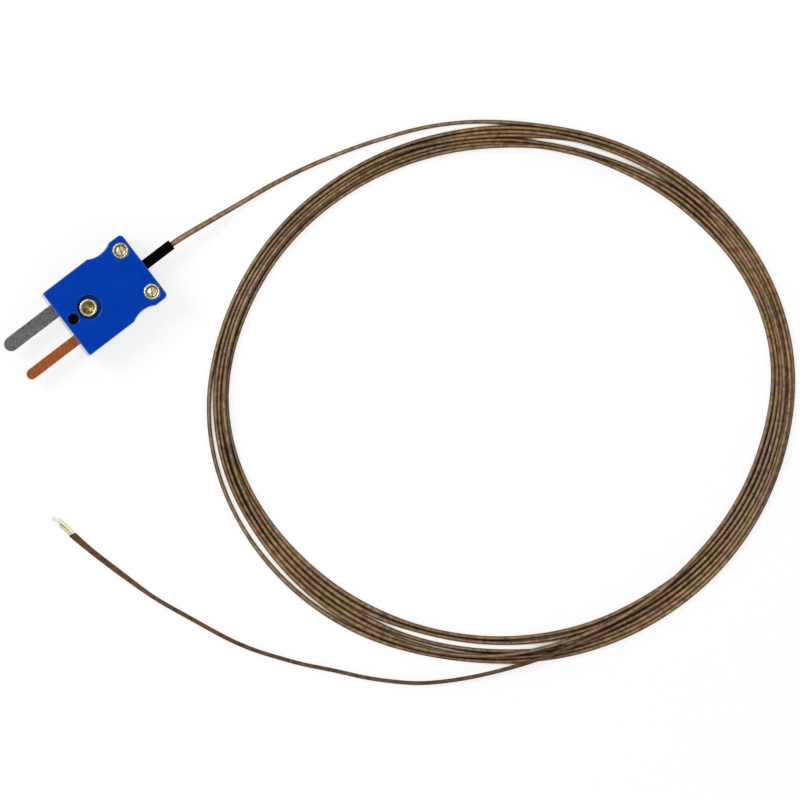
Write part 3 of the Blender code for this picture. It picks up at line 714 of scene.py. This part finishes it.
def blank_metal(name, dark, middle, light, roughness):
    """Flat pins: rolled strip, mottled by handling, with scratches along its length."""
    made = Surface(name, middle, roughness, 1.0)
    blotch = made.noise(1.1, 6.0, 0.62, distortion=0.6)
    colour = made.ramp(blotch, (0.34, dark), (0.5, middle), (0.68, light))
    along = made.scaled(made.place, (0.35, 7.0, 1.0))
    streak = made.noise(1.0, 6.0, 0.75, along)
    fleck_place = made.scaled(made.place, (0.6, 1.6, 1.0))
    flecks = made.ramp(made.noise(3.0, 3.0, 0.7, fleck_place), (0.56, 0.0), (0.64, 1.0))
    colour = made.mix(made.ramp(streak, (0.4, 0.0), (0.75, 0.55)), colour, light)
    colour = made.mix(made.math("MULTIPLY", flecks, 0.85), colour, light)
    pits = made.ramp(made.noise(4.4, 2.0, 0.6), (0.3, 1.0), (0.4, 0.0))
    made.feed("Base Color", made.mix(made.math("MULTIPLY", pits, 0.6), colour, dark))
    made.feed("Roughness", made.ramp(blotch, (0.3, roughness + 0.12), (0.7, roughness - 0.1)))
    relief = made.bump(made.noise(2.6, 5.0, 0.65), 0.03)
    made.feed("Normal", made.bump(streak, 0.012, relief))
    return made.material


def turned_brass(name, light, dark, roughness=0.24):
    made = Surface(name, light, roughness, 1.0)
    cloud = made.noise(1.7, 5.0, 0.65)
    stain = made.ramp(cloud, (0.38, dark), (0.56, light))
    specks = made.ramp(made.noise(6.5, 3.0, 0.7), (0.58, 0.0), (0.7, 0.7))
    # Faces inside the bush's cup take a darker olive colour
    cup = made.add("ShaderNodeAttribute", attribute_name="cup").outputs["Fac"]
    olive = made.ramp(made.noise(1.4, 3.0), (0.35, (0.15, 0.115, 0.030)), (0.65, (0.38, 0.32, 0.12)))
    made.feed("Base Color", made.mix(cup, made.mix(specks, stain, dark), olive))
    made.feed("Roughness", made.ramp(cloud, (0.35, roughness + 0.14), (0.65, roughness - 0.06)))
    made.feed("Normal", made.bump(made.noise(2.6, 4.0, 0.6), 0.1))
    return made.material


def black_sleeve():
    made = Surface("black_sleeve", (0.001, 0.001, 0.001), 0.6, Specular_IOR_Level=0.015)
    cloud = made.noise(1.2, 4.0, 0.6)
    made.feed("Base Color", made.ramp(cloud, (0.35, (0.0006, 0.0006, 0.0006)), (0.7, (0.002, 0.002, 0.0023))))
    made.feed("Roughness", made.ramp(cloud, (0.3, 0.7), (0.7, 0.55)))
    ribs = made.noise(1.0, 3.0, 0.5, made.scaled(made.place, (0.5, 4.0, 4.0)))
    made.feed("Normal", made.bump(ribs, 0.05, made.bump(made.noise(8.0, 3.0), 0.01)))
    return made.material


def brown_jacket():
    """Thin translucent jacket: brown, with the gold core's colour coming through on one side."""
    made = Surface("brown_jacket", (0.13, 0.085, 0.06), 0.3, Coat_Weight=0.12, Coat_Roughness=0.16,
                   Specular_IOR_Level=0.25)
    core = made.add("ShaderNodeAttribute", attribute_name="core").outputs["Fac"]
    lie = made.add("ShaderNodeAttribute", attribute_name="lie").outputs["Vector"]
    streak = made.noise(1.0, 4.0, 0.6, made.scaled(lie, (0.3, 1.7, 1.7)), 0.4)
    mixed = made.math("ADD", made.math("MULTIPLY", core, 0.45), made.math("MULTIPLY", streak, 0.55))
    tint = made.ramp(mixed, (0.22, (0.120, 0.046, 0.021)), (0.42, (0.166, 0.082, 0.040)),
                     (0.58, (0.146, 0.078, 0.022)), (0.75, (0.126, 0.082, 0.010)))
    dark = made.add("ShaderNodeAttribute", attribute_name="dark").outputs["Fac"]
    tint = made.mix(made.math("MULTIPLY", dark, 0.62), tint, (0.078, 0.030, 0.011))
    height = made.upward()
    # Painted shade: the strand's steep sides are darker olive brown
    side = made.ramp(height, (0.2, 1.0), (0.8, 0.0))
    tint = made.mix(side, tint, (0.045, 0.026, 0.004))
    # Painted highlight: a pale pinkish tan along the top of the strand, weaker where the cable is darker
    # towards the tip
    painted_crest_highlight = made.ramp(height, (0.88, 0.0), (0.99, 0.55))
    painted_crest_highlight = made.math("MULTIPLY", painted_crest_highlight, made.ramp(dark, (0.0, 1.0), (1.0, 0.12)))
    tint = made.mix(painted_crest_highlight, tint, (0.37, 0.255, 0.16))
    mottle = made.ramp(made.noise(0.8, 5.0, 0.65), (0.34, 0.5), (0.66, 1.5))
    slow = made.ramp(made.noise(0.05, 2.0), (0.35, 0.85), (0.65, 1.15))
    tint = made.mix(1.0, tint, mottle, "MULTIPLY")
    made.feed("Base Color", made.mix(1.0, tint, slow, "MULTIPLY"))
    made.feed("Roughness", made.ramp(made.noise(2.2, 4.0), (0.3, 0.38), (0.7, 0.22)))
    made.feed("Normal", made.bump(streak, 0.04, made.bump(made.noise(3.0, 4.0, 0.6), 0.02)))
    return made.material


def insulation(name, colour, deep, roughness):
    """Thin glossy covering of one core."""
    made = Surface(name, colour, roughness, Coat_Weight=0.6, Coat_Roughness=0.08)
    cloud = made.noise(2.4, 4.0, 0.6)
    body = made.mix(made.ramp(cloud, (0.32, 0.5), (0.66, 0.0)), colour, deep)
    # Painted shade: the core's sides take the deep colour and its top the lighter one
    made.feed("Base Color", made.mix(made.ramp(made.upward(), (0.25, 1.0), (0.75, 0.0)), body, deep))
    made.feed("Normal", made.bump(made.noise(5.0, 3.0), 0.02))
    return made.material


def welded_metal():
    made = Surface("weld", (0.9, 0.9, 0.88), 0.45)
    cloud = made.noise(2.6, 5.0, 0.6)
    made.feed("Base Color", made.ramp(cloud, (0.3, (0.80, 0.80, 0.78)), (0.6, (0.95, 0.95, 0.94))))
    made.feed("Roughness", made.ramp(cloud, (0.3, 0.55), (0.7, 0.35)))
    made.feed("Normal", made.bump(made.noise(4.0, 4.0), 0.03))
    return made.material


def dress(nodes_or_pieces, material):
    """Gives a material to CAD nodes, by name, and to new pieces."""
    for item in nodes_or_pieces:
        piece = bpy.data.objects[item] if isinstance(item, str) else item
        if not piece.material_slots:
            piece.data.materials.append(material)
        for slot in piece.material_slots:
            slot.material = material


# Cable


def make_cable():
    """The jacket as one tube, slightly flat from the two cores inside it, with their twist kept as a number
    for its colour.
    """
    line = cable_line()
    count = len(line)
    along = np.concatenate([[0], np.cumsum(np.linalg.norm(np.diff(line, axis=0), axis=1))])
    angle = 2 * math.pi * np.arange(CABLE_SIDES)[None, :] / CABLE_SIDES
    phase = angle - 2 * math.pi * along[:, None] / TWIST_PITCH
    half_width, half_height = section_along(line, along)
    centres = line - np.stack([0 * along, 0 * along, STRAND_HEIGHT / 2 - half_height], axis=1)
    rings, ahead = tube_rings(centres, half_width, half_height, angle)
    rings[-1] += ahead[-1] * (CUT_SLANT * np.cos(angle[0]))[:, None]
    shrink = 1 - JACKET_WALL / half_width[-1]
    mouth = centres[-1] + (rings[-1] - centres[-1]) * shrink
    hollow = mouth - ahead[-1] * JACKET_HOLLOW
    vertices = np.concatenate([rings.reshape(-1, 3), mouth, hollow])
    faces = tube_faces(count + 2, CABLE_SIDES)
    piece = mesh_piece("cable", vertices, faces)
    mark(piece, "core", np.concatenate([0.5 + 0.5 * np.cos(phase).ravel(), np.zeros(2 * CABLE_SIDES)]))
    dark = np.clip((DARK_FROM_TIP + 40 - (along[-1] - along)) / 40, 0, 1)
    mark(piece, "dark", np.concatenate([np.repeat(dark, CABLE_SIDES), np.ones(2 * CABLE_SIDES)]))
    lie = piece.data.attributes.new("lie", "FLOAT_VECTOR", "POINT")
    lengthwise = 0 * phase + along[:, None]
    around = [np.cos(angle) + 0 * phase, np.sin(angle) + 0 * phase]
    round_places = np.stack([lengthwise, *around], axis=2)
    places = np.concatenate([round_places.reshape(-1, 3), round_places[-1], round_places[-1]])
    lie.data.foreach_set("vector", places.astype(np.float32).ravel())
    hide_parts("cable_lead", "cable_coil", "cable_tail")
    print("cable length", round(float(along[-1]), 1), "points", count)
    return piece, line, ahead[-1]


def make_tube(name, points, radii, replaced):
    """A short round tube of changing radius, with softly closed ends."""
    sides = 20
    line = np.array([tuple(point) for point in points])
    angle = 2 * math.pi * np.arange(sides)[None, :] / sides
    rings, ahead = tube_rings(line, np.asarray(radii), np.asarray(radii), angle)
    first = line[0] + 0.7 * (rings[0] - line[0]) - ahead[0] * 0.3 * radii[0]
    last = line[-1] + 0.7 * (rings[-1] - line[-1]) + ahead[-1] * 0.3 * radii[-1]
    vertices = np.concatenate([first, rings.reshape(-1, 3), last])
    piece = mesh_piece(name, vertices, tube_faces(len(line) + 2, sides), 60)
    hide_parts(replaced)
    return piece


def make_tip(way):
    """Both cores out of the jacket's mouth, their bare wires, and the welded bead that joins them."""
    pieces = {}
    for side, (core_route, wire_route) in TIP_ROUTES.items():
        core_start = Vector(core_route[0])
        inside = core_start - way * (2 * JACKET_HOLLOW)
        core_line = smooth_route([inside, *core_route], 0.12)
        full = CORE_RADIUS[side]
        radii = [full + (CORE_MOUTH_RADIUS - full) * math.exp(-max(0.0, (p - inside).length - 0.9) / 0.35)
                 for p in core_line]
        radii = [r * (1 + 0.05 * math.sin(9.0 * n)) for n, r in enumerate(radii)]
        name = "tip_" + side + "_core"
        pieces[name] = make_tube(name + "_round", core_line, radii, name)
        stub = Vector(core_route[-1]) - (Vector(core_route[-1]) - Vector(core_route[-2])).normalized() * 0.5
        bead = Vector(BEAD_PLACE)
        reach = Vector(wire_route[-1]) + (bead - Vector(wire_route[-1])).normalized() * 0.35
        wire_line = smooth_route([stub, *wire_route, reach], 0.08)
        radii = [WIRE_RADIUS] * len(wire_line)
        name = "tip_" + side + "_wire"
        pieces[name] = make_tube(name + "_round", wire_line, radii, name)
    form = bmesh.new()
    bmesh.ops.create_icosphere(form, subdivisions=4, radius=BEAD_RADIUS)
    for vertex in form.verts:
        way_out = vertex.co.normalized()
        dent = math.sin(5 * way_out.x + 1) * math.sin(4 * way_out.y + 2 * way_out.z)
        vertex.co = way_out * (BEAD_RADIUS - BEAD_DENT * (0.5 + 0.5 * dent))
    vertices = [Vector(BEAD_PLACE) + vertex.co for vertex in form.verts]
    faces = [[vertex.index for vertex in face.verts] for face in form.faces]
    form.free()
    bead = mesh_piece("junction_bead_welded", vertices, faces, 80)
    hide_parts("junction_bead")
    pieces["junction_bead"] = bead
    return pieces


# Turned brass pieces


def make_post(side):
    """A terminal post with a knurled rim around its screw."""
    node = side + "_post"
    low, high = box_mm(node)
    centre = ((low.x + high.x) / 2, (low.y + high.y) / 2)
    radius = (high.x - low.x) / 2
    grub_low, grub_high = box_mm(side + "_grub_screw")
    bore = (grub_high.x - grub_low.x) / 2 + GRUB_GAP
    shoulder = low.z + POST_SHANK_LENGTH
    middle = (radius + bore) / 2
    profile = [
        (0, low.z),
        (POST_SHANK_RADIUS, low.z),
        (POST_SHANK_RADIUS, shoulder),
        (radius - SMALL_CHAMFER, shoulder),
        (radius, shoulder + SMALL_CHAMFER),
        (radius, high.z - KNURL_START),
        (radius, high.z - KNURL_FULL),
    ]
    half = radius - middle
    for degrees in range(0, 181, 20):
        share = math.radians(degrees)
        profile.append((middle + half * math.cos(share), high.z - POST_RIM_ROUND * (1 - math.sin(share))))
    profile += [(bore, grub_low.z - 0.1), (0, grub_low.z - 0.1)]
    toothed = {5: 1.0, 6: 1.0, 7: 0.7}

    def tooth(number, step):
        return -KNURL_DEPTH * toothed.get(number, 0) * (step % 2)

    piece = turned_piece(node + "_turned", profile, centre, 2 * KNURL_TEETH, tooth)
    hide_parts(node)
    return piece, centre, radius, high.z


def make_grub_screw(side):
    """A slotted screw with a slightly domed end."""
    node = side + "_grub_screw"
    low, high = box_mm(node)
    centre = ((low.x + high.x) / 2, (low.y + high.y) / 2)
    radius = (high.x - low.x) / 2
    profile = [(0, low.z), (radius - 0.15, low.z), (radius, low.z + 0.15)]
    span = high.z - GRUB_DOME - 0.06 - (low.z + 0.2)
    for turn in range(GRUB_THREADS):
        base = low.z + 0.2 + span * turn / GRUB_THREADS
        profile += [(radius, base), (radius - GRUB_THREAD_DEPTH, base + 0.5 * span / GRUB_THREADS)]
    profile += [
        (radius, high.z - GRUB_DOME - 0.06),
        (radius - 0.06, high.z - GRUB_DOME),
        (radius * 0.7, high.z - 0.68 * GRUB_DOME),
        (radius * 0.35, high.z - 0.26 * GRUB_DOME),
        (0, high.z),
    ]
    piece = turned_piece(node + "_slotted", profile, centre, 48)
    cut_box(piece, (*centre, high.z), (3 * radius, SLOT_WIDTH, 2 * SLOT_DEPTH), SLOT_ANGLES[side])
    soften_edges(piece, 0.035)
    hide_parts(node)
    return piece


def make_post_lip(side, centre, radius, top):
    """A thin ring of plastic that closes the gap between a post and the edge of its hole."""
    inner = radius + POST_LIP_GAP
    outer = inner + POST_LIP
    foot = top - POST_LIP_DEPTH
    steps = 64
    crown = top + 0.02
    section = ((inner, foot), (outer, foot), (outer, crown), (inner + 0.06, crown), (inner, top - 0.05))
    vertices = []
    for r, z in section:
        for step in range(steps):
            angle = 2 * math.pi * step / steps
            vertices.append((centre[0] + r * math.cos(angle), centre[1] + r * math.sin(angle), z))
    faces = []
    for ring in range(len(section)):
        low, high = ring * steps, (ring + 1) % len(section) * steps
        for step in range(steps):
            after = (step + 1) % steps
            faces.append((low + step, high + step, high + after, low + after))
    piece = mesh_piece(side + "_post_lip", vertices, faces)
    return piece


def make_bush():
    """The centre bush: a turned nut with a chamfered rim and a threaded cup."""
    low, high = box_mm("centre_bush")
    centre = ((low.x + high.x) / 2, (low.y + high.y) / 2)
    radius = (high.x - low.x) / 2
    floor = high.z - BUSH_CUP_DEPTH
    middle = (radius + BUSH_CUP_RADIUS) / 2
    half = radius - middle
    profile = [(0, low.z), (radius - SMALL_CHAMFER, low.z), (radius, low.z + SMALL_CHAMFER)]
    for degrees in range(0, 181, 20):
        share = math.radians(degrees)
        profile.append((middle + half * math.cos(share), high.z - BUSH_CHAMFER * (1 - math.sin(share))))
    pitch = (BUSH_CUP_DEPTH - 0.3) / BUSH_THREADS
    for turn in range(BUSH_THREADS):
        z = high.z - 0.24 - pitch * turn
        profile += [(BUSH_CUP_RADIUS, z), (BUSH_CUP_RADIUS - BUSH_THREAD_DEPTH, z - 0.5 * pitch)]
    profile += [(BUSH_CUP_RADIUS, floor + 0.05), (BUSH_CUP_RADIUS - 0.05, floor)]
    for ring in range(BUSH_CUP_RINGS):
        r = (BUSH_CUP_RADIUS - 0.25) * (1 - ring / BUSH_CUP_RINGS)
        profile += [(r + 0.09, floor - 0.03), (r, floor + 0.02)]
    profile.append((0, floor - 0.08))
    piece = turned_piece("centre_bush_turned", profile, centre, 72)
    in_cup = []
    for vertex in piece.data.vertices:
        x, y, z = vertex.co / MM
        in_cup.append(math.hypot(x - centre[0], y - centre[1]) < BUSH_CUP_RADIUS + 0.01 and z > floor - 0.2)
    mark(piece, "cup", in_cup)
    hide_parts("centre_bush")
    return piece


# Camera, light and floor


def make_camera():
    data = bpy.data.cameras.new("camera")
    data.sensor_width = SENSOR_WIDTH
    data.lens = SENSOR_WIDTH * CAMERA_HEIGHT / VIEW_WIDTH
    data.clip_end = 20
    camera = bpy.data.objects.new("camera", data)
    camera.location = (VIEW_CENTRE[0] * MM, VIEW_CENTRE[1] * MM, CAMERA_HEIGHT * MM)
    camera.rotation_euler = (0, 0, math.radians(VIEW_TURN))
    bpy.context.scene.collection.objects.link(camera)
    bpy.context.scene.camera = camera


def make_world():
    """A pale studio: dim straight overhead, brighter at middle heights, so that gloss stays clear."""
    world = bpy.data.worlds.new("studio")
    made = Nodes(world)
    way = made.add("ShaderNodeTexCoord").outputs["Generated"]
    height = made.add("ShaderNodeSeparateXYZ", {0: way}).outputs[2]
    background = made.tree.nodes["Background"]
    made.tree.links.new(made.ramp(height, *WORLD_GREYS), background.inputs["Color"])
    background.inputs["Strength"].default_value = WORLD_STRENGTH
    bpy.context.scene.world = world


def make_light(name, direction, distance, size, power):
    """A soft square lamp that looks at the middle of the view.

    Its direction is given as right, up and towards the camera.
    """
    turn = Matrix.Rotation(math.radians(VIEW_TURN), 3, "Z")
    centre = Vector((VIEW_CENTRE[0] * MM, VIEW_CENTRE[1] * MM, 0))
    data = bpy.data.lights.new(name, "AREA")
    data.size = size
    data.energy = power
    lamp = bpy.data.objects.new(name, data)
    way = turn @ Vector(direction).normalized()
    lamp.location = centre + way * distance
    lamp.rotation_euler = way.to_track_quat("Z", "Y").to_euler()
    bpy.context.scene.collection.objects.link(lamp)


def make_floor():
    """White to the camera, to gloss and to glass, with the probe's own soft shadow left on it and painted
    shade in its colour where it is closed in.
    """
    mesh = bpy.data.meshes.new("floor")
    form = bmesh.new()
    bmesh.ops.create_grid(form, x_segments=1, y_segments=1, size=FLOOR_HALF)
    form.to_mesh(mesh)
    form.free()
    floor = bpy.data.objects.new("floor", mesh)
    material = bpy.data.materials.new("floor")
    made = Nodes(material)
    made.tree.nodes.clear()
    # Painted shade: the floor's colour, also the white that the camera sees, darkens in narrow gaps and turns
    # brownish between strands
    colour = made.ramp(made.openness(CONTACT_REACH), *FLOOR_SHADE_BY_OPENNESS)
    pale = made.add("ShaderNodeBsdfDiffuse", {"Color": colour}).outputs[0]
    white = made.add("ShaderNodeEmission", {"Color": colour}).outputs[0]
    seen = made.add("ShaderNodeMixShader", {0: FLOOR_WHITE, 1: pale, 2: white}).outputs[0]
    matt = made.add("ShaderNodeBsdfDiffuse", {"Color": FLOOR_GREY}).outputs[0]
    path = made.add("ShaderNodeLightPath").outputs
    looked_at = made.math("MAXIMUM", path["Is Camera Ray"], path["Is Glossy Ray"])
    looked_at = made.math("MAXIMUM", looked_at, path["Is Transmission Ray"])
    both = made.add("ShaderNodeMixShader", {0: looked_at, 1: matt, 2: seen}).outputs[0]
    made.add("ShaderNodeOutputMaterial", {0: both})
    mesh.materials.append(material)
    bpy.context.scene.collection.objects.link(floor)


# The probe

cable, cable_points, tip_way = make_cable()
tip = make_tip(Vector(tip_way))
brass_pieces = [make_bush()]
screws = []
lips = []
for side in ("negative", "positive"):
    post, post_centre, post_radius, post_top = make_post(side)
    brass_pieces.append(post)
    screws.append(make_grub_screw(side))
    lips.append(make_post_lip(side, post_centre, post_radius, post_top))

constantan = blank_metal("constantan", (0.045, 0.045, 0.044), (0.175, 0.175, 0.170), (0.50, 0.50, 0.49), 0.42)
copper = blank_metal("copper", (0.33, 0.064, 0.014), (0.74, 0.165, 0.035), (0.95, 0.39, 0.15), 0.38)
brass = turned_brass("brass", (0.97, 0.88, 0.66), (0.50, 0.36, 0.14), 0.3)

dress([cable], brown_jacket())
dress(["lower_shell", "upper_shell", *lips], blue_plastic())
dress(["negative_pin", "plug_negative_wire"], constantan)
dress(["positive_pin", "plug_positive_wire"], copper)
dress(["centre_screw", "crimp_ferrule", *brass_pieces], brass)
dress(screws, turned_brass("screw_brass", (0.88, 0.78, 0.63), (0.55, 0.42, 0.26), 0.38))
dress(["cable_sleeve"], black_sleeve())
cream = insulation("cream_insulation", (0.93, 0.89, 0.68), (0.62, 0.58, 0.42), 0.3)
gold = insulation("gold_insulation", (0.86, 0.74, 0.36), (0.36, 0.25, 0.03), 0.25)
dress(["plug_negative_core", tip["tip_negative_core"]], cream)
dress(["plug_positive_core", tip["tip_positive_core"]], gold)
weld = welded_metal()
dress([tip["junction_bead"], tip["tip_negative_wire"], tip["tip_positive_wire"]], weld)

make_camera()
make_world()
make_light("key", KEY_DIRECTION, KEY_DISTANCE, KEY_SIZE, KEY_POWER)
make_floor()
bpy.context.scene.view_settings.view_transform = "Standard"

bpy.context.view_layer.update()
